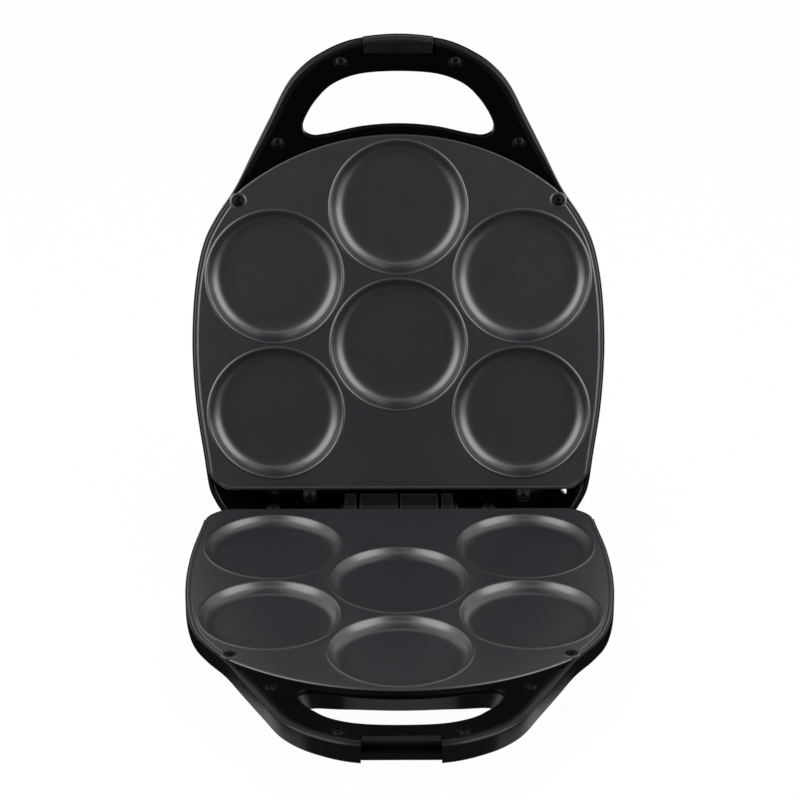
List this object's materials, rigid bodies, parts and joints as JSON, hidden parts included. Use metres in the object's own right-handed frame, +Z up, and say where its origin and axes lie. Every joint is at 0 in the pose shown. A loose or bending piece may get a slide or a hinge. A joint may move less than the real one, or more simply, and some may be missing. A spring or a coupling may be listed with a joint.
{
  "type": "mini pancake maker",
  "caption": "Countertop mini pancake maker standing open: base and hinged lid, each a moulded shell with a cast plate of round wells, looped handles and a clip latch.",
  "frame": {"origin": "centre of the footprint's box, on the surface that the feet stand on", "axes": "+Z up, +X to the right as seen from the handle end, -Y towards the base's handle, so the hinge and the open lid are at +Y"},
  "size_m": [0.229, 0.3378, 0.3004],
  "materials": {
    "housing_plastic": "near-black moulded polypropylene, glossy outside",
    "latch_plastic": "near-black moulded nylon, slightly lighter than the shells",
    "plate_coating": "charcoal non-stick coating on cast aluminium, satin",
    "black_steel": "blackened steel screws and pins",
    "element_steel": "oxidised stainless tube",
    "bright_steel": "zinc plated steel",
    "reflector_aluminium": "bright rolled sheet",
    "ceramic": "cream steatite ceramic",
    "foot_rubber": "matt black rubber",
    "red_lens": "clear red moulding",
    "green_lens": "clear green moulding",
    "lamp_glass": "small glass neon lamp",
    "live_insulation": "red silicone sleeve",
    "neutral_insulation": "blue silicone sleeve"
  },
  "bodies": {
    "base": {"base_housing": "housing_plastic", "base_plate": "plate_coating", "base_handle_cover": "housing_plastic", "base_handle_screw_1": "black_steel", "base_handle_screw_2": "black_steel", "base_handle_screw_3": "black_steel", "base_handle_screw_4": "black_steel", "base_plate_screw_1": "black_steel", "base_plate_screw_2": "black_steel", "base_tab_screw_1": "black_steel", "base_tab_screw_2": "black_steel", "base_heating_element": "element_steel", "base_element_clip_1": "bright_steel", "base_element_clip_2": "bright_steel", "base_reflector": "reflector_aluminium", "base_thermostat": "ceramic", "thermal_fuse": "bright_steel", "terminal_block": "ceramic", "live_lead": "live_insulation", "neutral_lead": "neutral_insulation", "cord_gland": "foot_rubber", "hinge_pin": "black_steel", "hinge_pin_clip": "black_steel", "foot_1": "foot_rubber", "foot_2": "foot_rubber", "foot_3": "foot_rubber", "foot_4": "foot_rubber"},
    "lid": {"lid_housing": "housing_plastic", "lid_plate": "plate_coating", "lid_handle_cover": "housing_plastic", "lid_handle_screw_1": "black_steel", "lid_handle_screw_2": "black_steel", "lid_handle_screw_3": "black_steel", "lid_handle_screw_4": "black_steel", "lid_plate_screw_1": "black_steel", "lid_plate_screw_2": "black_steel", "lid_tab_screw_1": "black_steel", "lid_tab_screw_2": "black_steel", "lid_heating_element": "element_steel", "lid_element_clip_1": "bright_steel", "lid_element_clip_2": "bright_steel", "lid_reflector": "reflector_aluminium", "lid_thermostat": "ceramic", "power_light_lens": "red_lens", "power_light_lamp": "lamp_glass", "ready_light_lens": "green_lens", "ready_light_lamp": "lamp_glass", "latch_pin": "black_steel"},
    "latch": {"latch": "latch_plastic"}
  },
  "joints": [
    {"name": "lid_hinge", "type": "hinge", "parent": "base", "child": "lid", "pos_m": [0, 0.09504, 0.03933], "axis": [1, 0, 0], "range_deg": [0, 100.27]},
    {"name": "latch_pivot", "type": "hinge", "parent": "lid", "child": "latch", "pos_m": [0, 0.1534, 0.29175], "axis": [1, 0, 0], "range_deg": [0, 8]}
  ]
}
